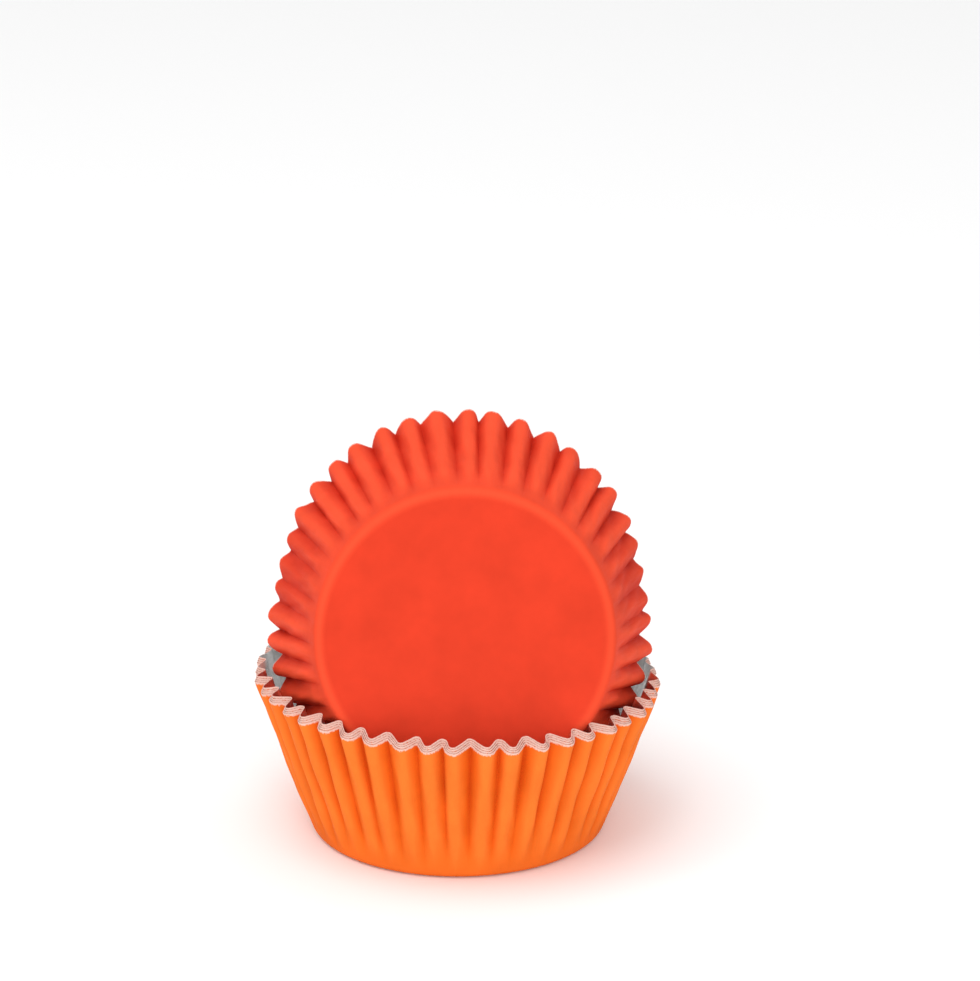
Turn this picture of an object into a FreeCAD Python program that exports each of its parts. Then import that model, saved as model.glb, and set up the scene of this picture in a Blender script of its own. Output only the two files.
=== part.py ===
"""Two nested stacks of foil-lined paper cupcake liners, one standing and one lying in its mouth.

Every liner is one round blank of paper-backed foil, pressed into a flat base and a pleated,
flared wall, so every liner is one solid.  The orange stack stands on its base.  The red stack
lies on its side in the orange mouth: its rim rests on the orange floor, the mouth's sides
squeeze it a little, and its own base leans towards the orange wall in front.

Frame: millimetres, +Z up, the front is -Y.  The origin is the centre of the face that the
orange stack stands on.
"""
import FreeCAD, Part

import math
import os
from dataclasses import dataclass

# ---------------------------------------------------------------- driving dimensions (mm, deg)
# The sheet, and how tightly the liners of a stack nest
SHEET = 0.12              # paper and foil together
LINERS_PER_STACK = 4
FLOOR_PITCH = SHEET       # the flat bases lie face on face
WALL_PITCH = SHEET + 0.10 # the pleated walls stay a little apart

# One liner, measured on the middle of a stack's wall
BASE_RADIUS = 25.0        # where base and wall would meet in a sharp corner
CORNER_RADIUS = 1.6       # of the rounded corner between base and wall
WALL_LEAN = 17.8          # mean wall, away from the vertical
WALL_LENGTH = 29.2        # along the mean wall, from the sharp corner to the rim

# The pleats: a rounded crest, a straight flank, a rounded valley and a straight flank each
PLEATS = 44
CREST_RADIUS = 1.55       # of the outward folds, in the middle of the stack's wall
VALLEY_RADIUS = 0.70      # of the inward folds, which the press nips tighter
FOLD_SHARE = 0.88         # share of the sheet's surplus that folds take; creases take the rest
PLEAT_ONSET = 10.0        # sheet length over which the folds fade in from the flat base
ONSET_VARIES = 0.35       # share by which that length differs round the wall
PLEAT_WANDER = 0.20       # how far a fold strays from its even place, in half pleats
PLEAT_TWIST = 0.14        # further drift of a fold between corner and rim, in half pleats

FOLD_VARIES = 0.14        # share by which the height of the folds differs
ORANGE_LEAN = 1.9         # its handled rim is this far off level, the left side higher (deg)

# The red stack, lying in the orange one
RED_AZIMUTH = 2.1         # its base faces this far to the right of straight ahead
RED_RISE = 13.9           # and this far above the horizontal
RED_SPIN = 2.0            # turn about its own axis
RED_SHIFT = 0.45          # its rim's centre, to the right of the orange axis
RED_SQUEEZE = 0.045       # its rim is narrower by this share across the mouth, and taller
CLEARANCE = 0.15          # between its lowest point and the orange floor
FRONT_NEST = 0.60         # how far its base comes in among the deepest folds in front

# Where the two walls press, the fold tips give way
PRESS_DEPTH = 1.1
PRESS_WIDTH = 24.0        # angle each side of the touching line

# Rows of the drawn surface: shares of the corner's turn, then of the wall's length
CORNER_ROWS = (0.0, 0.5, 1.0)
WALL_ROWS = (0.14, 0.42, 1.0)

STEEP = math.radians(90.0 - WALL_LEAN)
LEAST_SWING = 0.15        # rad; keeps a curve at each fold's foot, where the sheet is still flat


def smooth(x):
    """Ease from 0 to 1 as x goes from 0 to 1, flat outside."""
    x = min(1.0, max(0.0, x))
    return x * x * (3.0 - 2.0 * x)


def ripple(angle, orders, seed):
    """Sum of whole-number waves round the circle, between -1 and 1, the same on every run."""
    return sum(math.sin(order * angle + seed * (order + 1.7)) for order in orders) / len(orders)


def away(angle, other):
    """Smallest angle between two directions round the circle (rad)."""
    return abs((angle - other + math.pi) % (2.0 * math.pi) - math.pi)


@dataclass(frozen=True)
class Row:
    """One level of a stack's middle surface: a circle before it is pleated."""

    blank: float     # distance from the blank's centre, along the sheet
    radius: float
    height: float
    turn: float      # angle of the sheet from level (rad)
    climb: float     # share of the way from the flat base to the rim


@dataclass(frozen=True)
class Tip:
    """A crest or a valley of the pleats on one row."""

    angle: float     # place round the axis (rad)
    out: float       # how far it stands out from the mean wall, negative for a valley
    side: int        # +1 crest, -1 valley


@dataclass(frozen=True)
class Stack:
    """One nested stack in its own frame: base on z = 0, opening upwards."""

    name: str
    seed: float                # sets the small differences between folds
    squeeze: float = 0.0       # ovality of the rim along the local X axis
    lean: float = 0.0          # angle of the rim from level, higher at -X (deg)
    press_side: int = 0        # +1 where the inner fold tips are pressed out, -1 the outer in
    press_at: tuple = ()       # directions (deg) in which the neighbour presses

    # ------------------------------------------------------------ the wall before pleating
    @property
    def floor_radius(self):
        """Radius of the flat part of the base."""
        return BASE_RADIUS - CORNER_RADIUS * math.tan(STEEP / 2.0)

    @property
    def blank_radius(self):
        """Radius of the flat round blank, the same for each liner."""
        return (self.floor_radius + CORNER_RADIUS * STEEP + WALL_LENGTH
                - CORNER_RADIUS * math.tan(STEEP / 2.0))

    @property
    def thickness(self):
        """Thickness of the whole nested wall."""
        return SHEET + (LINERS_PER_STACK - 1) * WALL_PITCH

    def row(self, blank):
        """Row of the middle surface at a distance from the blank's centre."""
        flat, arc = self.floor_radius, CORNER_RADIUS * STEEP
        turn = min(STEEP, max(0.0, (blank - flat) / CORNER_RADIUS))
        run = max(0.0, blank - flat - arc)
        return Row(blank, flat + CORNER_RADIUS * math.sin(turn) + run * math.cos(STEEP),
                   CORNER_RADIUS * (1.0 - math.cos(turn)) + run * math.sin(STEEP), turn,
                   (blank - flat) / (self.blank_radius - flat))

    def rows(self, liner):
        """Rows that draw one liner's wall, from its flat base to its own rim."""
        corner_end = self.floor_radius + CORNER_RADIUS * STEEP
        # equal blanks: a liner further in turns a tighter corner, so its rim stands higher
        rim = self.blank_radius + STEEP * self.inward(liner + 0.5 * SHEET / WALL_PITCH)
        blanks = [self.floor_radius + share * (corner_end - self.floor_radius)
                  for share in CORNER_ROWS]
        blanks += [corner_end + share * (rim - corner_end) for share in WALL_ROWS]
        return [self.row(blank) for blank in blanks]

    def inward(self, liner):
        """Offset of a liner's outer face from the middle of the nested wall."""
        return liner * WALL_PITCH - self.thickness / 2.0

    def offset(self, liner, inner, row):
        """Offset of a liner's outer or inner face from the middle surface on a row."""
        floor = liner * FLOOR_PITCH + inner * SHEET
        wall = self.inward(liner) + inner * SHEET
        share = smooth((row.blank - self.floor_radius) / (1.6 * CORNER_RADIUS))
        return floor * (1.0 - share) + wall * share

    # ------------------------------------------------------------ the pleats
    def fold_height(self, row):
        """Height from valley to crest that takes up the blank's surplus on a row.

        The sheet can't stretch, so half a pleat is as long as its share of the blank's circle:
        an arc of the crest, a straight flank and an arc of the valley.
        """
        along = math.pi * row.blank / PLEATS
        across = math.pi * row.radius / PLEATS
        arcs = CREST_RADIUS + VALLEY_RADIUS
        low, high = 0.0, 1.55
        for _ in range(40):
            swing = (low + high) / 2.0
            flank = along - arcs * swing
            if arcs * math.sin(swing) + flank * math.cos(swing) > across:
                low = swing
            else:
                high = swing
        return FOLD_SHARE * (arcs * (1.0 - math.cos(low)) + (along - arcs * low) * math.sin(low))

    def tips(self, row):
        """Crests and valleys on a row, in order round the axis."""
        height = self.fold_height(row) if row.climb > 0.0 else 0.0
        angles = []
        for index in range(2 * PLEATS):
            even = math.pi * index / PLEATS
            stray = (PLEAT_WANDER * ripple(even, (17, 26, 39), self.seed)
                     + PLEAT_TWIST * row.climb * ripple(even, (9, 14, 23), self.seed + 1.0))
            angles.append(even + stray * math.pi / PLEATS)
        result = []
        for index, angle in enumerate(angles):
            side = 1 if index % 2 == 0 else -1
            gap = (angles[(index + 1) % len(angles)] - angles[index - 1]) % (2.0 * math.pi)
            onset = PLEAT_ONSET * (1.0 + ONSET_VARIES * ripple(angle, (12, 19, 31), self.seed))
            uneven = 1.0 + FOLD_VARIES * ripple(angle, (7, 15, 29), self.seed + 2.0)
            tall = (height * uneven * gap * PLEATS / (2.0 * math.pi)
                    * smooth((row.blank - self.floor_radius) / onset))
            out = side * tall / 2.0
            if self.press_side == -side:
                out += self.press_side * min(0.7 * tall, self.press(angle, row))
            result.append(Tip(angle, out, side))
        return result

    def press(self, angle, row):
        """How far a fold tip gives way where the neighbour presses on this stack."""
        share = sum(1.0 - smooth(away(angle, math.radians(at)) / math.radians(PRESS_WIDTH))
                    for at in self.press_at)
        return PRESS_DEPTH * share * smooth(1.4 * row.climb)

    def place(self, row, angle, sideways, out):
        """Point of the wall near a tip, sideways along the circle and outward from the wall."""
        around = angle + sideways / row.radius
        oval = 1.0 - self.squeeze * max(0.0, row.climb) * math.cos(2.0 * around)
        reach = row.radius * oval + out * math.sin(row.turn)
        across = reach * math.cos(around)
        lift = -math.tan(math.radians(self.lean)) * max(0.0, row.climb) * across
        return FreeCAD.Vector(across, reach * math.sin(around),
                              row.height + lift - out * math.cos(row.turn))

    def ring(self, liner, inner, row):
        """One closed row of a face: poles of a curve round each tip, and of each flank."""
        inward = self.offset(liner, inner, row)
        tips = self.tips(row)
        spans = [(row.radius * ((after.angle - tip.angle) % (2.0 * math.pi)),
                  abs(tip.out - after.out)) for tip, after in zip(tips, tips[1:] + tips[:1])]
        # two folds beside each other still leave room for a flank on the narrowest pleat
        arcs = min([CREST_RADIUS + VALLEY_RADIUS]
                   + [0.48 * (across ** 2 + tall ** 2) / tall for across, tall in spans
                      if tall > 1e-9])
        scale = arcs / (CREST_RADIUS + VALLEY_RADIUS)
        swings = []
        for across, tall in spans:
            drop = tall - arcs
            flank = math.sqrt(max(0.0, across ** 2 + drop ** 2 - arcs ** 2))
            # the flank is the common tangent that crosses between the two fold circles
            swings.append(max(LEAST_SWING, math.atan2(drop, across) + math.atan2(arcs, flank)))
        curves = []
        for index, tip in enumerate(tips):
            before, after = swings[index - 1], swings[index]
            radius = scale * (CREST_RADIUS if tip.side > 0 else VALLEY_RADIUS)
            bend = radius - tip.side * inward
            slide = 4.0 / 3.0 * math.tan((before + after) / 4.0) * bend
            fold = (row, tip, radius, bend)
            curves.append([self.on_fold(*fold, -before, 0.0), self.on_fold(*fold, -before, slide),
                           self.on_fold(*fold, after, -slide), self.on_fold(*fold, after, 0.0)])
        poles = []
        for index, curve in enumerate(curves):
            poles += [curve, [curve[3], curves[(index + 1) % len(curves)][0]]]
        if row.climb <= 0.0:
            for curve in poles:
                for pole in curve:
                    pole.z = inward
        return poles

    def on_fold(self, row, tip, radius, bend, swing, slide):
        """Point of a tip's fold circle at a swing, slid along the tangent there."""
        sideways = bend * math.sin(swing) + slide * math.cos(swing)
        out = tip.out + tip.side * (bend * math.cos(swing) - slide * math.sin(swing) - radius)
        return self.place(row, tip.angle, sideways, out)

    # ------------------------------------------------------------ the liners
    def liner(self, liner):
        """One liner: both faces of its sheet, the cut edge at the rim and the flat base."""
        rows = self.rows(liner)
        outer = [self.ring(liner, 0, row) for row in rows]
        inner = [self.ring(liner, 1, row) for row in rows]
        faces = [strip(low, high) for rings in (outer, inner)
                 for lower, upper in zip(rings, rings[1:]) for low, high in zip(lower, upper)]
        faces += [strip(low, high) for low, high in zip(outer[-1], inner[-1])]
        faces += [flat(rings[0]) for rings in (outer, inner)]
        shell = Part.Shell(faces)
        shell.sewShape()
        solid = Part.Solid(shell)
        if solid.Volume < 0.0:
            solid.reverse()
        return solid


def strip(low, high):
    """Ruled face between two curves with the same number of poles."""
    surface = Part.BSplineSurface()
    surface.buildFromPolesMultsKnots(
        [list(pair) for pair in zip(low, high)], [len(low)] * 2, [2, 2], [0.0, 1.0], [0.0, 1.0],
        False, False, len(low) - 1, 1)
    return surface.toShape()


def flat(ring):
    """Flat face inside a closed ring of curves."""
    edges = []
    for poles in ring:
        curve = Part.BezierCurve()
        curve.setPoles(poles)
        edges.append(curve.toShape())
    return Part.Face(Part.Wire(edges))


def front_folds(stack):
    """Height and reach of the innermost folds in front, from the floor up to the rim."""
    inner = stack.inward(LINERS_PER_STACK - 1) + SHEET
    folds = []
    for row in stack.rows(LINERS_PER_STACK - 1):
        tips = [stack.place(row, tip.angle, 0.0, tip.out - inner) for tip in stack.tips(row)
                if tip.side < 0 and away(tip.angle, -math.pi / 2.0) < 1.0]
        folds.append((sum(tip.z for tip in tips) / len(tips),
                      min(math.hypot(tip.x, tip.y) for tip in tips)))
    return folds


def reach_at(folds, height):
    """Reach of the innermost folds at a height."""
    for (low, near), (high, far) in zip(folds, folds[1:]):
        if low <= height <= high:
            return near + (far - near) * (height - low) / (high - low)
    return folds[0][1] if height < folds[0][0] else math.inf


def lying(stack, standing, floor):
    """Placement that lays a stack in the standing one's mouth.

    Its rim comes down to just over the floor, then it slides forward until its base lies
    among the deepest folds of the standing wall.
    """
    azimuth, rise = math.radians(RED_AZIMUTH), math.radians(RED_RISE)
    axis = FreeCAD.Vector(-math.sin(azimuth) * math.cos(rise),
                          math.cos(azimuth) * math.cos(rise), -math.sin(rise))
    across = axis.cross(FreeCAD.Vector(0.0, 0.0, 1.0)).normalize()
    spin = FreeCAD.Rotation(FreeCAD.Vector(0.0, 0.0, 1.0), RED_SPIN)
    turn = FreeCAD.Rotation(across, FreeCAD.Vector(), axis, "ZXY").multiply(spin)
    rows = stack.rows(0)
    points = [turn.multVec(stack.place(row, tip.angle, 0.0, tip.out - stack.inward(0)))
              for row in rows for tip in stack.tips(row)]
    centre = turn.multVec(FreeCAD.Vector(0.0, 0.0, rows[-1].height))
    move = FreeCAD.Vector(RED_SHIFT - centre.x, 0.0,
                          floor + CLEARANCE - min(point.z for point in points))
    folds = front_folds(standing)
    needed = []
    for point in points:
        reach = reach_at(folds, point.z + move.z) + FRONT_NEST
        aside = point.x + move.x
        if reach < math.inf and abs(aside) < reach:
            needed.append(-math.sqrt(reach ** 2 - aside ** 2) - point.y)
    move.y = max(needed)
    print(f"the lying rim's centre is {move.y + centre.y:.2f} mm behind the standing axis")
    return FreeCAD.Placement(move, turn)


def main():
    """Build each liner in its place and write it."""
    os.makedirs("parts", exist_ok=True)
    orange = Stack("orange", seed=0.7, lean=ORANGE_LEAN, press_side=1, press_at=(5.0, 175.0))
    red = Stack("red", seed=2.9, squeeze=RED_SQUEEZE, press_side=-1, press_at=(-15.0, 195.0))
    floor = (LINERS_PER_STACK - 1) * FLOOR_PITCH + SHEET
    places = {orange: FreeCAD.Placement(), red: lying(red, orange, floor)}
    for stack, placement in places.items():
        for liner in range(LINERS_PER_STACK):
            solid = stack.liner(liner)
            solid.Placement = placement
            if not solid.isValid() or not solid.isClosed():
                raise ValueError(f"{stack.name} liner {liner + 1} is not a sound solid")
            solid.exportStep(f"parts/{stack.name}_liner_{liner + 1}.step")
            print(stack.name, liner + 1, f"{solid.Volume:.1f} mm3", solid.BoundBox)


if __name__ == "__main__":
    main()
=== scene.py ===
"""Two nested stacks of foil-lined paper cupcake liners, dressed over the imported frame.

The orange stack stands on its base and the red stack lies on its side in the orange mouth.
Lengths are millimetres inside the classes and become metres where a mesh or a light is made.
"""

import logging
import math
from dataclasses import dataclass, field
from enum import Enum

import bpy
import numpy as np
from mathutils import Matrix, Vector

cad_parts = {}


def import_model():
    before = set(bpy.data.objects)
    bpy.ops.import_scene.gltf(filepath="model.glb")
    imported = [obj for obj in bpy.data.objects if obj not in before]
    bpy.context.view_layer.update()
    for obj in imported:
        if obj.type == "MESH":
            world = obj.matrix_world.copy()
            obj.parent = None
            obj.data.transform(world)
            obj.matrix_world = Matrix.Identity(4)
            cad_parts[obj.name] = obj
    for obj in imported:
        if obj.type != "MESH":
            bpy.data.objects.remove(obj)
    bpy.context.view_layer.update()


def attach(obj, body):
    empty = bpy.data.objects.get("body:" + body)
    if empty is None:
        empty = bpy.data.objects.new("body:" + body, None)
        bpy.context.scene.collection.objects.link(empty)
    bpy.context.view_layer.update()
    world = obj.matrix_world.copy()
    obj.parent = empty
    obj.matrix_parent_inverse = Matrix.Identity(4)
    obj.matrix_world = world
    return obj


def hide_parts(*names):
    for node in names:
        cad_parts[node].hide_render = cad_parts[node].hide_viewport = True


LOG = logging.getLogger("cupcake_liners")
MM = 0.001                         # metres in a millimetre
TURN = 2.0 * math.pi               # radians in a full turn
TINY = 1e-9                        # keeps a division clear of zero

# numbers of the colour sockets of a Mix node, which share their names with others
MIX_FACTOR, MIX_FIRST, MIX_SECOND, MIX_RESULT = 0, 6, 7, 2
NOISE_LOW, NOISE_HIGH = 0.3, 0.7   # a noise texture seldom leaves this range


# ------------------------------------------------------------------------------ helpers
def linear(hex_colour: str) -> tuple[float, float, float, float]:
    """Turn an sRGB hex colour into linear RGBA.

    Args:
        hex_colour: Six hex digits with a leading hash.

    Returns:
        Linear red, green, blue and an alpha of 1.
    """
    channels = []
    for start in (1, 3, 5):
        value = int(hex_colour[start:start + 2], 16) / 255.0
        channels.append(value / 12.92 if value <= 0.04045 else ((value + 0.055) / 1.055) ** 2.4)
    return channels[0], channels[1], channels[2], 1.0


def smooth(x: np.ndarray | float) -> np.ndarray | float:
    """Ease from 0 to 1 as x goes from 0 to 1, flat outside."""
    x = np.clip(x, 0.0, 1.0)
    return x * x * (3.0 - 2.0 * x)


def ripple(angle: np.ndarray, orders: tuple[int, ...], seed: float) -> np.ndarray:
    """Average of whole-number waves round the circle, the same on every run."""
    return sum(np.sin(order * angle + seed * (order + 1.7)) for order in orders) / len(orders)


def add_node(tree: bpy.types.NodeTree, kind: str, links: dict | None = None,
             **settings: object) -> bpy.types.Node:
    """Add a shader node with its settings and its inputs.

    Args:
        tree: Node tree that gets the node.
        kind: Blender's name of the node type.
        links: Input name or number to either a constant or an output socket.
        **settings: Attributes set on the node itself.

    Returns:
        The new node.
    """
    node = tree.nodes.new(kind)
    for name, value in settings.items():
        setattr(node, name, value)
    for name, value in (links or {}).items():
        socket = node.inputs[name]
        if isinstance(value, bpy.types.NodeSocket):
            tree.links.new(value, socket)
        else:
            socket.default_value = value
    return node


def new_material(name: str) -> tuple[bpy.types.Material, bpy.types.NodeTree]:
    """Make an empty node material.

    Args:
        name: Name of the material.

    Returns:
        The material and its node tree.
    """
    material = bpy.data.materials.new(name)
    material.use_nodes = True
    material.node_tree.nodes.clear()
    return material, material.node_tree


# ------------------------------------------------------------------------------ finishes
@dataclass(frozen=True)
class DyedPaper:
    """Greaseproof paper, dyed and calendered, then pressed into pleats.

    Calendering leaves a satin face with a faint grain of fibres and fine press lines that run
    up the wall. The broad soft highlights along each fold are painted into the colour, with
    painted shade in the valleys.
    """

    name: str
    face: str                      # the dye on a flat, evenly lit face
    painted_highlight: str                    # painted highlight on the crests and on the bend round the base
    painted_valley_shade: str                      # painted shade in the valleys
    core: str                      # undyed fibres that show along a cut edge, and the colour of the painted highlight along the rim
    roughness: float = 0.58        # at the middle of the press lines
    roughness_varies: tuple[float, float] = (-0.05, 0.07)
    ior: float = 1.48              # cellulose
    specular: float = 0.02         # open fibres scatter what the top of the sheet reflects
    bend_highlight_share: float = 0.75             # how strongly the painted highlight shows on the bend round the base
    cloudy: tuple[float, float] = (0.93, 1.06)  # darkest and lightest cloud in the dye
    fibre_mm: float = 0.35         # drawn coarser than real fibres, which are too fine to show
    mottle_mm: float = 7.0         # cloudy unevenness of the sheet
    line_mm: float = 0.7           # spacing of the press lines
    line_stretch: float = 0.06     # of a press line's width to its length
    wall_mm: float = 27.8          # length of the wall below the rim
    line_end_mm: float = 1.0       # press lines stop this far above the base
    line_fade_mm: float = 4.0      # and fade out over this length
    feather_mm: float = 0.42       # how far the cutting knife bares the edge; this pale band is partly a painted highlight along the rim
    tear_mm: float = 0.45          # how far a single fibre pulls that edge back
    blur_mm: float = 0.25          # how gradually the bare edge ends

    def build(self) -> bpy.types.Material:
        """Make the material.

        Returns:
            The finished material.
        """
        material, tree = new_material(self.name)
        place = add_node(tree, "ShaderNodeTexCoord").outputs["Object"]
        mottle = add_node(tree, "ShaderNodeTexNoise", {
            "Vector": place, "Scale": 1.0 / (self.mottle_mm * MM), "Detail": 3.0,
            "Roughness": 0.55}).outputs["Fac"]
        fibre = add_node(tree, "ShaderNodeTexNoise", {
            "Vector": place, "Scale": 1.0 / (self.fibre_mm * MM), "Detail": 2.0,
            "Roughness": 0.6}).outputs["Fac"]
        lines = self.press_lines(tree)
        from_rim = add_node(tree, "ShaderNodeAttribute", attribute_name="from_rim").outputs["Fac"]
        rough = add_node(tree, "ShaderNodeMapRange", {
            "Value": lines, "From Min": NOISE_LOW, "From Max": NOISE_HIGH,
            "To Min": self.roughness + self.roughness_varies[0],
            "To Max": self.roughness + self.roughness_varies[1]})
        shader = add_node(tree, "ShaderNodeBsdfPrincipled", {
            "Base Color": self.colour(tree, mottle, fibre, from_rim),
            "Roughness": rough.outputs["Result"],
            "Normal": self.relief(tree, mottle, fibre, lines, from_rim),
            "Specular IOR Level": self.specular, "IOR": self.ior})
        add_node(tree, "ShaderNodeOutputMaterial", {"Surface": shader.outputs["BSDF"]})
        return material

    def press_lines(self, tree: bpy.types.NodeTree) -> bpy.types.NodeSocket:
        """Draw fine lines that run from the base to the rim on the flat blank.

        Args:
            tree: Node tree of the material.

        Returns:
            Output socket with the height of the lines.
        """
        blank = add_node(tree, "ShaderNodeUVMap", uv_map="blank").outputs["UV"]
        stretched = add_node(tree, "ShaderNodeMapping", {
            "Vector": blank,
            "Scale": (1.0 / self.line_mm, self.line_stretch / self.line_mm, 1.0)})
        return add_node(tree, "ShaderNodeTexNoise", {
            "Vector": stretched.outputs["Vector"], "Scale": 1.0, "Detail": 4.0,
            "Roughness": 0.6}).outputs["Fac"]

    def colour(self, tree: bpy.types.NodeTree, mottle: bpy.types.NodeSocket,
               fibre: bpy.types.NodeSocket,
               from_rim: bpy.types.NodeSocket) -> bpy.types.NodeSocket:
        """Dye the sheet, paint a highlight on its crests and its lower bend and shade in its
        valleys, and show the pale fibres of its cut edge, partly as a painted highlight along the
        rim.

        Args:
            tree: Node tree of the material.
            mottle: Cloudy unevenness of the sheet.
            fibre: Grain of the fibres.
            from_rim: Distance below the rim, in millimetres.

        Returns:
            Output socket with the colour.
        """
        # painted highlight on the crests and painted shade in the valleys, by each point's place on
        # its fold
        fold = add_node(tree, "ShaderNodeAttribute", attribute_name="fold").outputs["Fac"]
        bend_highlight = add_node(tree, "ShaderNodeAttribute", attribute_name="bend_highlight").outputs["Fac"]
        tone = add_node(tree, "ShaderNodeMapRange", {
            "Value": fold, "From Min": -1.0, "From Max": 1.0, "To Min": 0.0, "To Max": 1.0})
        dye_with_fold_light = add_node(tree, "ShaderNodeValToRGB", {"Fac": tone.outputs["Result"]})
        stops = dye_with_fold_light.color_ramp.elements
        stops[0].position, stops[0].color = 0.0, linear(self.painted_valley_shade)
        stops[1].position, stops[1].color = 1.0, linear(self.painted_highlight)
        stops.new(0.5).color = linear(self.face)
        clouds = add_node(tree, "ShaderNodeMapRange", {
            "Value": mottle, "From Min": NOISE_LOW, "From Max": NOISE_HIGH,
            "To Min": self.cloudy[0], "To Max": self.cloudy[1]})
        clouded = add_node(tree, "ShaderNodeMix", {
            MIX_FACTOR: 1.0, MIX_FIRST: dye_with_fold_light.outputs["Color"],
            MIX_SECOND: clouds.outputs["Result"]}, data_type="RGBA", blend_type="MULTIPLY")
        # painted highlight along the bend round the base, where wall and base meet
        bend_highlight_share = add_node(tree, "ShaderNodeMath", {0: bend_highlight, 1: self.bend_highlight_share}, operation="MULTIPLY")
        bend_highlight_mix = add_node(tree, "ShaderNodeMix", {
            MIX_FACTOR: bend_highlight_share.outputs["Value"], MIX_FIRST: clouded.outputs[MIX_RESULT],
            MIX_SECOND: linear(self.painted_highlight)}, data_type="RGBA")
        # pale band along the rim: partly undyed fibres of the cut edge, partly a painted highlight
        ragged = add_node(tree, "ShaderNodeMath", {0: from_rim, 1: fibre}, operation="SUBTRACT")
        pale_band_end = self.feather_mm - self.tear_mm
        bare_edge_and_highlight = add_node(tree, "ShaderNodeMapRange", {
            "Value": ragged.outputs["Value"], "From Min": pale_band_end - self.blur_mm,
            "From Max": pale_band_end, "To Min": 1.0, "To Max": 0.0})
        return add_node(tree, "ShaderNodeMix", {
            MIX_FACTOR: bare_edge_and_highlight.outputs["Result"], MIX_FIRST: bend_highlight_mix.outputs[MIX_RESULT],
            MIX_SECOND: linear(self.core)}, data_type="RGBA").outputs[MIX_RESULT]

    def relief(self, tree: bpy.types.NodeTree, mottle: bpy.types.NodeSocket,
               fibre: bpy.types.NodeSocket, lines: bpy.types.NodeSocket,
               from_rim: bpy.types.NodeSocket) -> bpy.types.NodeSocket:
        """Raise the fibres, the press lines of the wall and shallow dents.

        Args:
            tree: Node tree of the material.
            mottle: Cloudy unevenness of the sheet.
            fibre: Grain of the fibres.
            lines: Height of the press lines.
            from_rim: Distance below the rim, in millimetres.

        Returns:
            Output socket with the surface normal.
        """
        grain = add_node(tree, "ShaderNodeBump", {
            "Height": fibre, "Strength": 0.22, "Distance": 0.03 * MM})
        lines_end = self.wall_mm - self.line_end_mm
        on_wall = add_node(tree, "ShaderNodeMapRange", {
            "Value": from_rim, "From Min": lines_end - self.line_fade_mm,
            "From Max": lines_end, "To Min": 1.0, "To Max": 0.0})
        wall_lines = add_node(tree, "ShaderNodeMath", {
            0: lines, 1: on_wall.outputs["Result"]}, operation="MULTIPLY")
        pressed = add_node(tree, "ShaderNodeBump", {
            "Height": wall_lines.outputs["Value"], "Strength": 0.55, "Distance": 0.12 * MM,
            "Normal": grain.outputs["Normal"]})
        return add_node(tree, "ShaderNodeBump", {
            "Height": mottle, "Strength": 0.25, "Distance": 0.35 * MM,
            "Normal": pressed.outputs["Normal"]}).outputs["Normal"]


@dataclass(frozen=True)
class LaminatedFoil:
    """Thin aluminium foil, rolled and glued to the paper.

    Rolling leaves a blurred mirror, and pressing the pleats adds small wrinkles that break up
    what it reflects, so it looks like soft grey silver.
    """

    name: str = "laminated_foil"
    metal: str = "#f4f3f2"
    scuffed_and_shaded: str = "#dcdad9"        # in the hollows of the wrinkles: partly a scuffed finish, partly painted shade
    roughness: tuple[float, float] = (0.26, 0.42)
    wrinkle_mm: float = 1.6

    def build(self) -> bpy.types.Material:
        """Make the material.

        Returns:
            The finished material.
        """
        material, tree = new_material(self.name)
        place = add_node(tree, "ShaderNodeTexCoord").outputs["Object"]
        wrinkles = add_node(tree, "ShaderNodeTexNoise", {
            "Vector": place, "Scale": 1.0 / (self.wrinkle_mm * MM), "Detail": 4.0,
            "Roughness": 0.6}).outputs["Fac"]
        # darker in the hollows of the wrinkles, partly scuffed finish and partly painted shade
        ramp = add_node(tree, "ShaderNodeValToRGB", {"Fac": wrinkles})
        stops = ramp.color_ramp.elements
        stops[0].position, stops[0].color = 0.35, linear(self.scuffed_and_shaded)
        stops[1].position, stops[1].color = 0.65, linear(self.metal)
        rough = add_node(tree, "ShaderNodeMapRange", {
            "Value": wrinkles, "From Min": NOISE_LOW, "From Max": NOISE_HIGH,
            "To Min": self.roughness[0], "To Max": self.roughness[1]})
        bump = add_node(tree, "ShaderNodeBump", {
            "Height": wrinkles, "Strength": 0.5, "Distance": 0.16 * MM})
        shader = add_node(tree, "ShaderNodeBsdfPrincipled", {
            "Base Color": ramp.outputs["Color"], "Metallic": 1.0,
            "Roughness": rough.outputs["Result"], "Normal": bump.outputs["Normal"]})
        add_node(tree, "ShaderNodeOutputMaterial", {"Surface": shader.outputs["BSDF"]})
        return material


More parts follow.
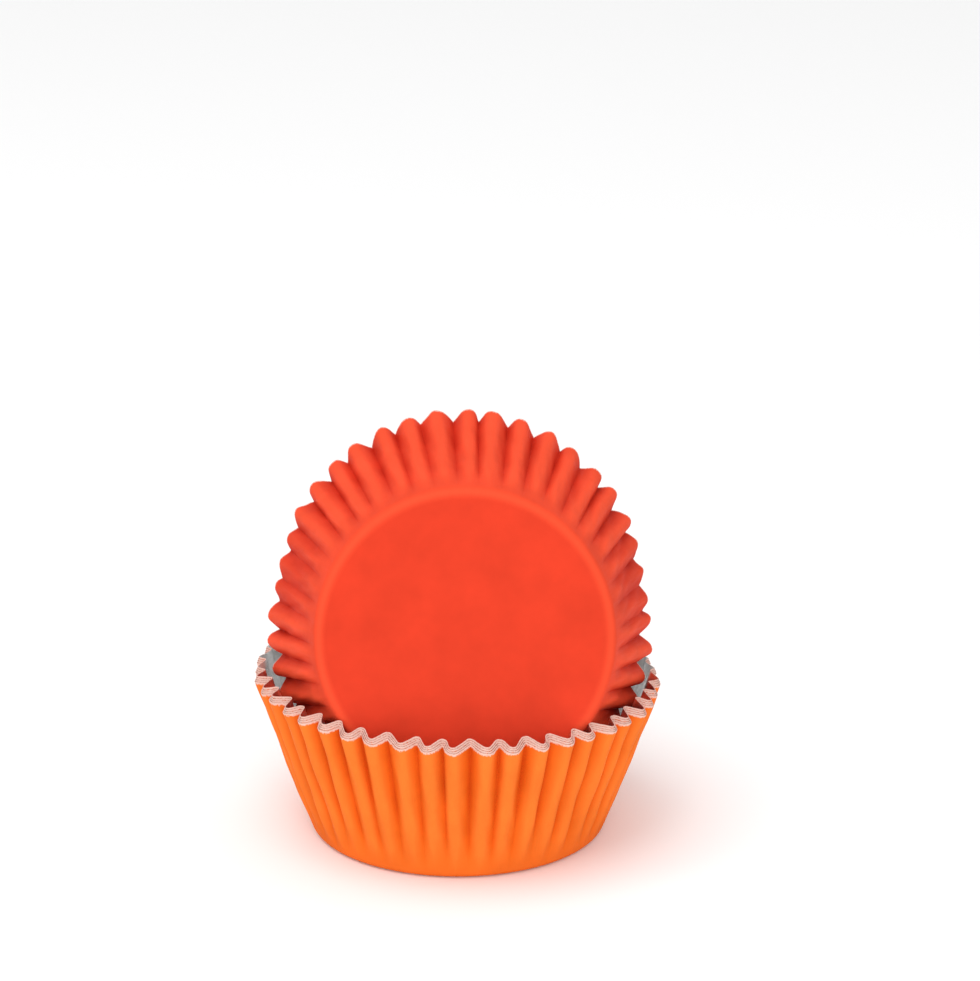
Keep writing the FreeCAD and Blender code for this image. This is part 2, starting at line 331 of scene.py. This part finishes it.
@dataclass(frozen=True)
class CutPaper:
    """Paper cut through by a die: undyed fibres, which look matt, pale and a little ragged."""

    name: str
    core: str                      # undyed fibres
    stained: str                   # where the dye has soaked in from the face
    roughness: float = 0.85
    ior: float = 1.48              # cellulose
    fibre_mm: float = 0.3          # drawn coarser than real fibres, which are too fine to show

    def build(self) -> bpy.types.Material:
        """Make the material.

        Returns:
            The finished material.
        """
        material, tree = new_material(self.name)
        place = add_node(tree, "ShaderNodeTexCoord").outputs["Object"]
        fibre = add_node(tree, "ShaderNodeTexNoise", {
            "Vector": place, "Scale": 1.0 / (self.fibre_mm * MM), "Detail": 3.0}).outputs["Fac"]
        ramp = add_node(tree, "ShaderNodeValToRGB", {"Fac": fibre})
        stops = ramp.color_ramp.elements
        stops[0].position, stops[0].color = 0.35, linear(self.stained)
        stops[1].position, stops[1].color = 0.6, linear(self.core)
        bump = add_node(tree, "ShaderNodeBump", {
            "Height": fibre, "Strength": 0.4, "Distance": 0.04 * MM})
        shader = add_node(tree, "ShaderNodeBsdfPrincipled", {
            "Base Color": ramp.outputs["Color"], "Roughness": self.roughness,
            "Normal": bump.outputs["Normal"], "IOR": self.ior})
        add_node(tree, "ShaderNodeOutputMaterial", {"Surface": shader.outputs["BSDF"]})
        return material


# ------------------------------------------------------------------------------ the liners
class Face(Enum):
    """The two faces of a liner's sheet, numbered as the material slots of its mesh."""

    PAPER = 0
    FOIL = 1


CUT_SLOT = 2  # material slot of the cut edge, after those of the two faces


@dataclass(frozen=True)
class Sheet:
    """The sheet and the press that shapes it, the same for each liner (mm, deg)."""

    thickness: float = 0.12        # paper and foil together
    floor_pitch: float = 0.12      # from one liner to the next, in the base
    wall_pitch: float = 0.22       # and in the wall, where folds keep them apart
    count: int = 4                 # liners in a stack
    base_radius: float = 25.0      # where base and wall would meet in a sharp corner
    corner_radius: float = 1.6
    wall_lean: float = 17.8        # off the vertical
    wall_length: float = 29.2      # along the mean wall, from the sharp corner to the rim
    pleats: int = 44
    crest_radius: float = 1.55     # of the outward folds
    valley_radius: float = 0.70    # of the inward folds
    fold_share: float = 0.88       # of the blank's surplus, the rest is small creases
    onset: float = 10.0            # length of sheet in which folds rise to full height
    onset_varies: float = 0.35
    wander: float = 0.20           # how far folds stray sideways, in half pleats
    twist: float = 0.14            # further drift between corner and rim, in half pleats
    fold_varies: float = 0.14
    press_depth: float = 1.1       # how far the neighbour pushes fold tips back
    press_width: float = 24.0      # angle each side of the touching line
    press_share: float = 0.7       # of a fold's height that gives way at most
    least_swing: float = 0.15      # rad, so that flat stretches keep their arcs
    crumple: float = 0.10          # small dents that every liner of a stack shares
    swell: float = 0.035           # the cut rim is burred, so it looks a little thicker
    swell_power: int = 3           # the burr dies away this quickly below the rim
    ragged: float = 0.07           # how unevenly the liners of a stack line up at the rim
    ragged_power: int = 8          # and how quickly that dies away below it
    ragged_step: float = 1.9       # shift of the uneven rim from liner to liner
    bend_highlight_width: float = 0.8      # of the painted highlight line where wall and base meet

    @property
    def steep(self) -> float:
        """Angle of the wall from level."""
        return math.radians(90.0 - self.wall_lean)

    @property
    def floor_radius(self) -> float:
        """Radius of the flat part of the base."""
        return self.base_radius - self.corner_radius * math.tan(self.steep / 2.0)

    @property
    def corner_end(self) -> float:
        """Distance from the blank's centre at which the straight wall begins."""
        return self.floor_radius + self.corner_radius * self.steep

    @property
    def blank_radius(self) -> float:
        """Radius of the flat round blank."""
        return (self.corner_end + self.wall_length
                - self.corner_radius * math.tan(self.steep / 2.0))

    @property
    def nested(self) -> float:
        """Thickness of the whole nested wall."""
        return self.thickness + (self.count - 1) * self.wall_pitch

    @property
    def floor_height(self) -> float:
        """Height of a standing stack's inside floor."""
        return (self.count - 1) * self.floor_pitch + self.thickness


@dataclass(frozen=True)
class Level:
    """One level of the stack's middle surface, before it is pleated."""

    blank: float                   # distance from the centre of the flat blank
    radius: float
    height: float
    turn: float                    # how far the sheet has turned up from level, rad
    climb: float                   # 0 at the edge of the flat base, 1 at the rim


@dataclass
class RingMesh:
    """A mesh of closed rings of equal counts of points, and what its materials read."""

    count: int
    points: list[np.ndarray] = field(default_factory=list)
    fold: list[np.ndarray] = field(default_factory=list)
    from_rim: list[np.ndarray] = field(default_factory=list)
    bend_highlight: list[np.ndarray] = field(default_factory=list)
    blank: list[np.ndarray] = field(default_factory=list)
    faces: list[np.ndarray] = field(default_factory=list)
    slots: list[np.ndarray] = field(default_factory=list)
    total: int = 0

    def add(self, points: np.ndarray, blank: float, round_blank: np.ndarray | float,
            from_rim: float, fold: np.ndarray | float = 0.0, bend_highlight: float = 0.0) -> int:
        """Add a ring, or a single point.

        Args:
            points: Its points, one to a row.
            blank: Its distance from the centre of the flat blank.
            round_blank: Each point's distance round the edge of the blank.
            from_rim: Its distance below the rim.
            fold: How far each point is up its fold, from -1 to 1.
            bend_highlight: How strongly the painted highlight on the bend round the base shows here,
                from 0 to 1.

        Returns:
            The number of its first point.
        """
        first, size = self.total, len(points)
        self.points.append(points)
        self.fold.append(np.broadcast_to(fold, size))
        self.from_rim.append(np.full(size, from_rim))
        self.bend_highlight.append(np.full(size, bend_highlight))
        self.blank.append(np.stack([np.broadcast_to(round_blank, size),
                                    np.full(size, blank)], axis=1))
        self.total += size
        return first

    def join(self, low: int, high: int, slot: int, turned: bool = False) -> None:
        """Join two rings with a band of faces.

        Args:
            low: First point of the lower or inner ring.
            high: First point of the other ring.
            slot: Material slot of the band.
            turned: Whether the band faces the other way.
        """
        here = np.arange(self.count)
        after = (here + 1) % self.count
        quads = np.stack([low + here, low + after, high + after, high + here], axis=1)
        self.faces.append(quads[:, ::-1] if turned else quads)
        self.slots.append(np.full(self.count, slot))

    def close(self, centre: int, ring: int, slot: int, turned: bool = False) -> None:
        """Fill a ring with a fan of triangles round one point.

        Args:
            centre: The point.
            ring: First point of the ring.
            slot: Material slot of the fan.
            turned: Whether the fan faces the other way.
        """
        here = np.arange(self.count)
        after = (here + 1) % self.count
        fan = np.stack([np.full(self.count, centre), ring + after, ring + here], axis=1)
        self.faces.append(fan[:, ::-1] if turned else fan)
        self.slots.append(np.full(self.count, slot))

    def to_mesh(self, name: str, place: Matrix, edges: tuple[int, ...]) -> bpy.types.Mesh:
        """Make the mesh with its attributes, its flat blank as UV and its sharp edges.

        Args:
            name: Name of the mesh.
            place: Placement in the row's frame, in millimetres.
            edges: First points of the rings that stay sharp in shading.

        Returns:
            The finished mesh, without materials.
        """
        vertices = np.vstack(self.points)
        placed = (np.array(place.to_3x3()) @ vertices.T).T + np.array(place.translation)
        polygons = [tuple(map(int, corners)) for band in self.faces for corners in band]
        mesh = bpy.data.meshes.new(name)
        mesh.from_pydata((placed * MM).tolist(), [], polygons)
        mesh.polygons.foreach_set("material_index", np.hstack(self.slots).astype(np.int32))
        mesh.polygons.foreach_set("use_smooth", np.ones(len(polygons), dtype=bool))
        for attribute, values in (("fold", self.fold), ("from_rim", self.from_rim),
                                  ("bend_highlight", self.bend_highlight)):
            mesh.attributes.new(attribute, "FLOAT", "POINT").data.foreach_set(
                "value", np.hstack(values).astype(np.float32))
        corner_vertex = np.empty(len(mesh.loops), dtype=np.int32)
        mesh.loops.foreach_get("vertex_index", corner_vertex)
        mesh.uv_layers.new(name="blank").data.foreach_set(
            "uv", np.vstack(self.blank)[corner_vertex].astype(np.float32).ravel())
        self.sharpen(mesh, edges)
        mesh.update()
        return mesh

    def sharpen(self, mesh: bpy.types.Mesh, edges: tuple[int, ...]) -> None:
        """Keep rings sharp in shading.

        Args:
            mesh: The mesh made of these rings.
            edges: First point of each sharp ring.
        """
        ends = np.empty(2 * len(mesh.edges), dtype=np.int32)
        mesh.edges.foreach_get("vertices", ends)
        ends = ends.reshape(-1, 2)
        sharp = np.zeros(len(mesh.edges), dtype=bool)
        for first in edges:
            sharp |= ((ends >= first) & (ends < first + self.count)).all(axis=1)
        mesh.attributes.new("sharp_edge", "BOOLEAN", "EDGE").data.foreach_set("value", sharp)


@dataclass
class LinerStack:
    """A nested stack of liners in its own frame: base on z = 0, opening upwards (mm, deg)."""

    name: str
    slot: str
    seed: float                    # shifts every wave, so that no two stacks are alike
    paper: DyedPaper
    cut: CutPaper
    sheet: Sheet = field(default_factory=Sheet)
    squeeze: float = 0.0           # the mouth is narrower across by this share, and taller
    lean: float = 0.0              # the rim's slope, higher on the left
    press_side: int = 0            # +1 presses valleys outwards, -1 presses crests inwards
    press_at: tuple[float, ...] = ()        # angles at which the neighbour touches
    place: Matrix = field(default_factory=lambda: Matrix.Identity(4))
    arc_points: int = 7            # on each fold tip
    flank_points: int = 4          # between two of them
    seen_rows: tuple[int, int] = (7, 42)    # of the corner and the wall, on a face in view
    hidden_rows: tuple[int, int] = (3, 12)  # and on one that its neighbour covers
    row_bias: float = 1.1          # rows are a little closer together above the corner
    base_rings: tuple[float, ...] = (0.985, 0.96, 0.9, 0.7, 0.45, 0.2)
    beyond_wall: float = 10.0      # added to the wall, as the base's distance from the rim
    corner_share: float = 1.6      # corner radii in which floor steps become wall steps
    steepest: float = 1.55         # rad, just under a flank that stands square to the wall
    halvings: int = 40             # when the slope of a flank is looked for
    arc_room: float = 0.48         # two arcs alone would fill 0.5, so a short flank is left
    least_fold: float = 0.7        # reach; lower folds get only part of the painted highlight and painted shade
    press_rise: float = 1.4        # the press is at its full depth at 1 / this of the climb
    dent_rise: float = 2.2         # and so are the dents
    wander_waves: tuple[int, ...] = (17, 26, 39)
    twist_waves: tuple[int, ...] = (9, 14, 23)
    onset_waves: tuple[int, ...] = (12, 19, 31)
    fold_waves: tuple[int, ...] = (7, 15, 29)
    rim_waves: tuple[int, ...] = (6, 13, 31, 47)
    # waves round the wall, and how far each turns for a millimetre up it
    dent_waves: tuple[tuple[int, float], ...] = ((53, 0.45), (74, -0.30), (97, 0.60), (29, -0.22))

    # ---- levels
    def level(self, blank: float) -> Level:
        """Find the middle surface at a distance from the blank's centre.

        Args:
            blank: That distance.

        Returns:
            The level.
        """
        sheet = self.sheet
        turn = min(sheet.steep, max(0.0, (blank - sheet.floor_radius) / sheet.corner_radius))
        run = max(0.0, blank - sheet.corner_end)
        return Level(
            blank,
            sheet.floor_radius + sheet.corner_radius * math.sin(turn) + run * math.cos(sheet.steep),
            sheet.corner_radius * (1.0 - math.cos(turn)) + run * math.sin(sheet.steep), turn,
            (blank - sheet.floor_radius) / (sheet.blank_radius - sheet.floor_radius))

    def inward(self, liner: float) -> float:
        """Offset of a liner's outer face from the middle of the nested wall."""
        return liner * self.sheet.wall_pitch - self.sheet.nested / 2.0

    def offset(self, liner: int, face: Face, level: Level) -> float:
        """Offset of one face of a liner from the middle surface.

        Args:
            liner: Number of the liner, 0 for the outermost.
            face: The face.
            level: The level.

        Returns:
            How far inwards it is, or upwards in the base.
        """
        sheet = self.sheet
        floor = liner * sheet.floor_pitch + face.value * sheet.thickness
        burred = sheet.thickness + sheet.swell * max(0.0, level.climb) ** sheet.swell_power
        wall = self.inward(liner) + face.value * burred
        share = smooth((level.blank - sheet.floor_radius)
                       / (self.corner_share * sheet.corner_radius))
        return floor * (1.0 - share) + wall * share

    def levels(self, liner: int, corner_rows: int, wall_rows: int) -> list[Level]:
        """Levels that draw a liner's wall, from its flat base to its own rim.

        Args:
            liner: Number of the liner, 0 for the outermost.
            corner_rows: Rows of faces round the corner.
            wall_rows: Rows of faces up the wall.

        Returns:
            The levels, from the base up.
        """
        sheet = self.sheet
        # equal blanks: a liner further in turns a tighter corner, so its rim stands higher
        rim = (sheet.blank_radius
               + sheet.steep * self.inward(liner + 0.5 * sheet.thickness / sheet.wall_pitch))
        corner = np.linspace(sheet.floor_radius, sheet.corner_end, corner_rows + 1)
        climb = np.linspace(0.0, 1.0, wall_rows + 1) ** self.row_bias
        wall = sheet.corner_end + (rim - sheet.corner_end) * climb
        return [self.level(float(blank)) for blank in (*corner, *wall[1:])]

    # ---- pleats
    def fold_height(self, level: Level) -> float:
        """Height from valley to crest that takes up the blank's surplus.

        Args:
            level: The level.

        Returns:
            The height.
        """
        sheet = self.sheet
        along = math.pi * level.blank / sheet.pleats
        across = math.pi * level.radius / sheet.pleats
        arcs = sheet.crest_radius + sheet.valley_radius
        low, high = 0.0, self.steepest
        for _ in range(self.halvings):
            swing = (low + high) / 2.0
            flank = along - arcs * swing
            if arcs * math.sin(swing) + flank * math.cos(swing) > across:
                low = swing
            else:
                high = swing
        return sheet.fold_share * (arcs * (1.0 - math.cos(low))
                                   + (along - arcs * low) * math.sin(low))

    def tips(self, level: Level) -> tuple[np.ndarray, np.ndarray, np.ndarray]:
        """Find the tips of the folds, crests and valleys by turns.

        Args:
            level: The level.

        Returns:
            Angle, outward reach and side (+1 crest, -1 valley) of each tip.
        """
        sheet = self.sheet
        index = np.arange(2 * sheet.pleats)
        even = math.pi * index / sheet.pleats
        stray = (sheet.wander * ripple(even, self.wander_waves, self.seed)
                 + sheet.twist * level.climb * ripple(even, self.twist_waves, self.seed + 1.0))
        angle = even + stray * math.pi / sheet.pleats
        side = np.where(index % 2 == 0, 1.0, -1.0)
        gap = (np.roll(angle, -1) - np.roll(angle, 1)) % TURN
        onset = sheet.onset * (1.0 + sheet.onset_varies
                               * ripple(angle, self.onset_waves, self.seed))
        height = self.fold_height(level) if level.climb > 0.0 else 0.0
        uneven = 1.0 + sheet.fold_varies * ripple(angle, self.fold_waves, self.seed + 2.0)
        tall = (height * uneven * gap * sheet.pleats / TURN
                * smooth((level.blank - sheet.floor_radius) / onset))
        out = side * tall / 2.0
        if self.press_side:
            give = np.minimum(sheet.press_share * tall, self.press(angle, level))
            out = np.where(side == -self.press_side, out + self.press_side * give, out)
        return angle, out, side

    def press(self, angle: np.ndarray, level: Level) -> np.ndarray:
        """How far fold tips give way where the neighbour presses on this stack.

        Args:
            angle: Angle of each tip.
            level: The level.

        Returns:
            The depth at each tip.
        """
        share = np.zeros_like(angle)
        for at in self.press_at:
            away = np.abs((angle - math.radians(at) + math.pi) % TURN - math.pi)
            share += 1.0 - smooth(away / math.radians(self.sheet.press_width))
        return self.sheet.press_depth * share * smooth(self.press_rise * level.climb)

    def ring(self, liner: int, face: Face, level: Level) -> tuple[np.ndarray, np.ndarray]:
        """Draw one closed level of a face: an arc on each fold tip, and flanks between.

        Args:
            liner: Number of the liner, 0 for the outermost.
            face: The face.
            level: The level.

        Returns:
            Its points, and how far each is up its fold (-1 to 1).
        """
        sheet = self.sheet
        angle, out, side = self.tips(level)
        across = level.radius * ((np.roll(angle, -1) - angle) % TURN)
        tall = np.abs(out - np.roll(out, -1))
        both = sheet.crest_radius + sheet.valley_radius
        room = self.arc_room * (across ** 2 + tall ** 2) / np.maximum(tall, TINY)
        arcs = min(both, float(room.min()))
        drop = tall - arcs
        flank = np.sqrt(np.maximum(0.0, across ** 2 + drop ** 2 - arcs ** 2))
        swing = np.maximum(sheet.least_swing,
                           np.arctan2(drop, across) + np.arctan2(arcs, flank))
        radius = arcs / both * np.where(side > 0, sheet.crest_radius, sheet.valley_radius)
        bend = radius - side * self.offset(liner, face, level)
        centre = out - side * radius
        share = np.linspace(0.0, 1.0, self.arc_points)
        turn = -np.roll(swing, 1)[:, None] * (1.0 - share) + swing[:, None] * share
        around_tip = angle[:, None] + bend[:, None] * np.sin(turn) / level.radius
        out_tip = centre[:, None] + (side * bend)[:, None] * np.cos(turn)
        following = np.roll(around_tip[:, 0], -1)
        following[-1] += TURN
        steps = np.linspace(0.0, 1.0, self.flank_points + 2)[1:-1]
        around_flank = around_tip[:, -1:] * (1.0 - steps) + following[:, None] * steps
        out_flank = out_tip[:, -1:] * (1.0 - steps) + np.roll(out_tip[:, 0], -1)[:, None] * steps
        around = np.hstack([around_tip, around_flank]).ravel()
        reach_out = np.hstack([out_tip, out_flank]).ravel() + self.dents(level, around)
        points = self.wall_points(level, around, reach_out)
        longer = self.uneven_rim(liner, level, around)
        points[:, 0] += longer * math.cos(sheet.steep) * np.cos(around)
        points[:, 1] += longer * math.cos(sheet.steep) * np.sin(around)
        points[:, 2] += longer * math.sin(sheet.steep)
        half = max(self.least_fold, float(np.abs(out).max()))
        return points, np.clip(reach_out / half, -1.0, 1.0)

    def dents(self, level: Level, around: np.ndarray) -> np.ndarray:
        """Small uneven dents of the pressed wall, none on the flat base.

        Args:
            level: The level.
            around: Angle of each point.

        Returns:
            How far each point moves outwards.
        """
        waves = sum(np.sin(order * around + slope * level.blank + self.seed * order)
                    for order, slope in self.dent_waves)
        return self.sheet.crumple * waves / 2.0 * smooth(self.dent_rise * level.climb)

    def uneven_rim(self, liner: int, level: Level, around: np.ndarray) -> np.ndarray:
        """How much further up the wall one liner reaches than an even rim would.

        Args:
            liner: Number of the liner, 0 for the outermost.
            level: The level.
            around: Angle of each point.

        Returns:
            The length at each point, which dies away quickly below the rim.
        """
        sheet = self.sheet
        wave = ripple(around, self.rim_waves, self.seed + sheet.ragged_step * liner)
        return sheet.ragged * wave * max(0.0, level.climb) ** sheet.ragged_power

    def wall_points(self, level: Level, around: np.ndarray, out: np.ndarray) -> np.ndarray:
        """Place points of the wall.

        Args:
            level: The level.
            around: Angle of each point round the axis.
            out: Its distance out from the mean wall.

        Returns:
            The points, one to a row.
        """
        oval = 1.0 - self.squeeze * max(0.0, level.climb) * np.cos(2.0 * around)
        reach = level.radius * oval + out * math.sin(level.turn)
        across = reach * np.cos(around)
        lift = -math.tan(math.radians(self.lean)) * max(0.0, level.climb) * across
        height = level.height + lift - out * math.cos(level.turn)
        return np.stack([across, reach * np.sin(around), height], axis=1)

    # ---- meshes
    def build_wall(self, mesh: RingMesh, liner: int, face: Face, seen: bool) -> list[int]:
        """Build one face of a liner's corner and wall.

        Args:
            mesh: Mesh that gets the rings.
            liner: Number of the liner, 0 for the outermost.
            face: The face.
            seen: Whether it is in view, or covered by a neighbour.

        Returns:
            First point of each ring, from the base up.
        """
        sheet = self.sheet
        bend = (sheet.floor_radius + sheet.corner_end) / 2.0
        levels = self.levels(liner, *(self.seen_rows if seen else self.hidden_rows))
        rings = []
        for level in levels:
            points, fold = self.ring(liner, face, level)
            # mask of the painted highlight along the bend round the base
            bend_highlight = math.exp(-((level.blank - bend) / sheet.bend_highlight_width) ** 2)
            rings.append(mesh.add(points, level.blank, self.round_blank(mesh),
                                  levels[-1].blank - level.blank, fold, bend_highlight))
        for low, high in zip(rings, rings[1:]):
            mesh.join(low, high, face.value, turned=face is Face.FOIL)
        return rings

    def build_base(self, mesh: RingMesh, outermost: int, face: Face) -> None:
        """Fill one face of a liner's flat base, from the corner to its centre.

        Args:
            mesh: Mesh that gets the rings.
            outermost: First point of the ring where the corner begins.
            face: The face.
        """
        sheet = self.sheet
        from_rim = sheet.wall_length + self.beyond_wall
        edge = np.vstack(mesh.points)[outermost:outermost + mesh.count]
        height = float(edge[0, 2])
        outer = outermost
        for share in self.base_rings:
            points = np.column_stack([edge[:, :2] * share, np.full(mesh.count, height)])
            inner = mesh.add(points, share * sheet.floor_radius, self.round_blank(mesh), from_rim)
            mesh.join(inner, outer, face.value, turned=face is Face.FOIL)
            outer = inner
        centre = mesh.add(np.array([[0.0, 0.0, height]]), 0.0, 0.0, from_rim)
        mesh.close(centre, outer, face.value, turned=face is Face.FOIL)

    def round_blank(self, mesh: RingMesh) -> np.ndarray:
        """Distance round the edge of the blank of each point of a ring."""
        return np.linspace(0.0, TURN * self.sheet.blank_radius, mesh.count, endpoint=False)

    def build_liner(self, liner: int, materials: tuple[bpy.types.Material, ...]) -> bpy.types.Object:
        """Build one liner as a closed sheet with paper, foil and a cut edge.

        Args:
            liner: Number of the liner, 0 for the outermost.
            materials: Paper, foil and cut edge, in the order of the slots.

        Returns:
            The new object, in the row's frame.
        """
        mesh = RingMesh(2 * self.sheet.pleats * (self.arc_points + self.flank_points))
        paper = self.build_wall(mesh, liner, Face.PAPER, seen=liner == 0)
        foil = self.build_wall(mesh, liner, Face.FOIL, seen=liner == self.sheet.count - 1)
        mesh.join(paper[-1], foil[-1], CUT_SLOT)
        self.build_base(mesh, paper[0], Face.PAPER)
        self.build_base(mesh, foil[0], Face.FOIL)
        sheet_mesh = mesh.to_mesh(f"{self.name}_liner_{liner + 1}_sheet", self.place,
                                  edges=(paper[-1], foil[-1]))
        for material in materials:
            sheet_mesh.materials.append(material)
        piece = bpy.data.objects.new(f"{self.name}_paper_liner_{liner + 1}", sheet_mesh)
        bpy.context.scene.collection.objects.link(piece)
        return piece

    def build(self, foil: bpy.types.Material) -> None:
        """Build every liner of the stack and tie it to its part of the frame.

        Args:
            foil: Material of the inner faces, which both stacks share.
        """
        materials = (self.paper.build(), foil, self.cut.build())
        for liner in range(self.sheet.count):
            piece = self.build_liner(liner, materials)
            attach(piece, "root")
            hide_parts(f"{self.name}_liner_{liner + 1}")
            LOG.info("built %s with %d faces", piece.name, len(piece.data.polygons))


@dataclass(frozen=True)
class Lying:
    """How the red stack lies in the orange mouth (deg, mm)."""

    azimuth: float = 2.1           # its base faces this far to the right of straight ahead
    rise: float = 13.9             # and this far above the horizontal
    spin: float = 2.0              # of the folds round the axis
    shift: float = 0.45            # of the rim's centre to the right
    depth: float = 4.62            # of the rim's centre behind the standing stack's axis
    clearance: float = 0.15        # of its lowest fold from the floor it rests on

    def place(self, stack: LinerStack, floor: float) -> Matrix:
        """Placement that lays the stack's rim just over the floor of the standing one.

        Args:
            stack: The stack in its own frame.
            floor: Height of the standing stack's inside floor.

        Returns:
            Its placement in the row's frame, in millimetres.
        """
        azimuth, rise = math.radians(self.azimuth), math.radians(self.rise)
        axis = Vector((-math.sin(azimuth) * math.cos(rise), math.cos(azimuth) * math.cos(rise),
                       -math.sin(rise)))
        across = axis.cross(Vector((0.0, 0.0, 1.0))).normalized()
        turn = Matrix((across, axis.cross(across), axis)).transposed()
        turn = turn @ Matrix.Rotation(math.radians(self.spin), 3, "Z")
        rim = stack.levels(0, corner_rows=3, wall_rows=3)[-1]
        angle, out, _side = stack.tips(rim)
        edge = stack.wall_points(rim, angle, out - stack.inward(0))
        lowest = min((turn @ Vector(point)).z for point in edge)
        centre = turn @ Vector((0.0, 0.0, rim.height))
        shift = Vector((self.shift - centre.x, self.depth - centre.y,
                        floor + self.clearance - lowest))
        return Matrix.Translation(shift) @ turn.to_4x4()


# ------------------------------------------------------------------------------ the studio
@dataclass(frozen=True)
class SoftLight:
    """A square soft box that points at the stacks (m, W)."""

    name: str
    place: tuple[float, float, float]
    size: float
    power: float
    aim: tuple[float, float, float] = (0.0, 0.0, 0.03)

    def build(self) -> None:
        """Hang the light."""
        light = bpy.data.lights.new(self.name, "AREA")
        light.shape, light.size, light.energy = "SQUARE", self.size, self.power
        lamp = bpy.data.objects.new(self.name, light)
        lamp.location = self.place
        beam = Vector(self.aim) - lamp.location
        lamp.rotation_euler = beam.to_track_quat("-Z", "Y").to_euler()
        bpy.context.scene.collection.objects.link(lamp)


@dataclass(frozen=True)
class Studio:
    """Pale sweep, soft lights and the camera."""

    floor_hex: str = "#fafafa"
    floor_half: float = 6.0        # half the floor's side, m
    grain_mm: float = 2.5          # of the card, drawn coarser than its real fibres
    room_strength: float = 0.80    # of the white room, which fills every shadow
    lights: tuple[SoftLight, ...] = (
        SoftLight("overhead_light", (-0.25, -0.25, 0.9), 0.7, 3.8),
        SoftLight("front_light", (0.08, -1.15, 0.42), 0.6, 4.6))
    sensor_mm: float = 36.0
    elevation: float = 19.35       # of the camera's axis, deg
    distance: float = 914.0        # from the foot of the upright stack, mm
    aim_right: float = 5.61        # camera axis passes this far right of the foot, mm
    aim_up: float = 58.0           # and this far above it, square to the axis
    field_mm: float = 172.26       # width that the camera sees at that distance

    def build_floor(self) -> None:
        """Lay the pale floor under the base."""
        half = self.floor_half
        mesh = bpy.data.meshes.new("floor")
        mesh.from_pydata([(-half, -half, 0.0), (half, -half, 0.0), (half, half, 0.0),
                          (-half, half, 0.0)], [], [(0, 1, 2, 3)])
        floor = bpy.data.objects.new("floor", mesh)
        bpy.context.scene.collection.objects.link(floor)
        material, tree = new_material("pale_card_sweep")
        place = add_node(tree, "ShaderNodeTexCoord").outputs["Object"]
        grain = add_node(tree, "ShaderNodeTexNoise", {
            "Vector": place, "Scale": 1.0 / (self.grain_mm * MM), "Detail": 2.0}).outputs["Fac"]
        bump = add_node(tree, "ShaderNodeBump", {
            "Height": grain, "Strength": 0.05, "Distance": 0.1 * MM})
        shader = add_node(tree, "ShaderNodeBsdfPrincipled", {
            "Base Color": linear(self.floor_hex), "Roughness": 0.9,
            "Normal": bump.outputs["Normal"]})
        add_node(tree, "ShaderNodeOutputMaterial", {"Surface": shader.outputs["BSDF"]})
        mesh.materials.append(material)

    def build_lights(self) -> None:
        """Hang an overhead light and a low front one in a bright white room."""
        world = bpy.data.worlds.new("white_room")
        world.use_nodes = True
        background = world.node_tree.nodes["Background"]
        background.inputs["Color"].default_value = (1.0, 1.0, 1.0, 1.0)
        background.inputs["Strength"].default_value = self.room_strength
        bpy.context.scene.world = world
        for light in self.lights:
            light.build()

    def build_camera(self) -> None:
        """Set up the camera, which looks down a little at the front of the stacks."""
        tilt = math.radians(self.elevation)
        right = Vector((1.0, 0.0, 0.0))
        ahead = Vector((0.0, math.cos(tilt), -math.sin(tilt)))
        up = Vector((0.0, math.sin(tilt), math.cos(tilt)))
        camera = bpy.data.cameras.new("camera")
        camera.sensor_width = self.sensor_mm
        camera.lens = camera.sensor_width * self.distance / self.field_mm
        camera.clip_end = 50.0
        viewer = bpy.data.objects.new("camera", camera)
        viewer.location = (right * self.aim_right + up * self.aim_up
                           - ahead * self.distance) * MM
        viewer.rotation_euler = (math.radians(90.0 - self.elevation), 0.0, 0.0)
        bpy.context.scene.collection.objects.link(viewer)
        bpy.context.scene.camera = viewer


def main() -> None:
    """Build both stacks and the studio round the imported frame."""
    logging.basicConfig(level=logging.INFO, format="%(name)s: %(message)s")
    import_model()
    orange = LinerStack(
        "orange", "orange_paper", seed=0.7, lean=1.9, press_side=1, press_at=(5.0, 175.0),
        paper=DyedPaper("orange_greaseproof_paper", face="#e2641b", painted_highlight="#ee782e",
                        painted_valley_shade="#c63e08", core="#e3bdb0"),
        cut=CutPaper("orange_cut_paper", core="#dfb9ad", stained="#c79182"))
    red = LinerStack(
        "red", "red_paper", seed=2.9, squeeze=0.045, press_side=-1, press_at=(-15.0, 195.0),
        paper=DyedPaper("red_greaseproof_paper", face="#d33c25", painted_highlight="#ea5032",
                        painted_valley_shade="#b4190a", core="#e6b2a6"),
        cut=CutPaper("red_cut_paper", core="#ecc9bf", stained="#d98372"))
    red.place = Lying().place(red, orange.sheet.floor_height)
    foil = LaminatedFoil().build()
    for stack in (orange, red):
        stack.build(foil)
    studio = Studio()
    studio.build_floor()
    studio.build_lights()
    studio.build_camera()
    bpy.context.scene.view_settings.view_transform = "Standard"


if __name__ == "__main__":
    main()
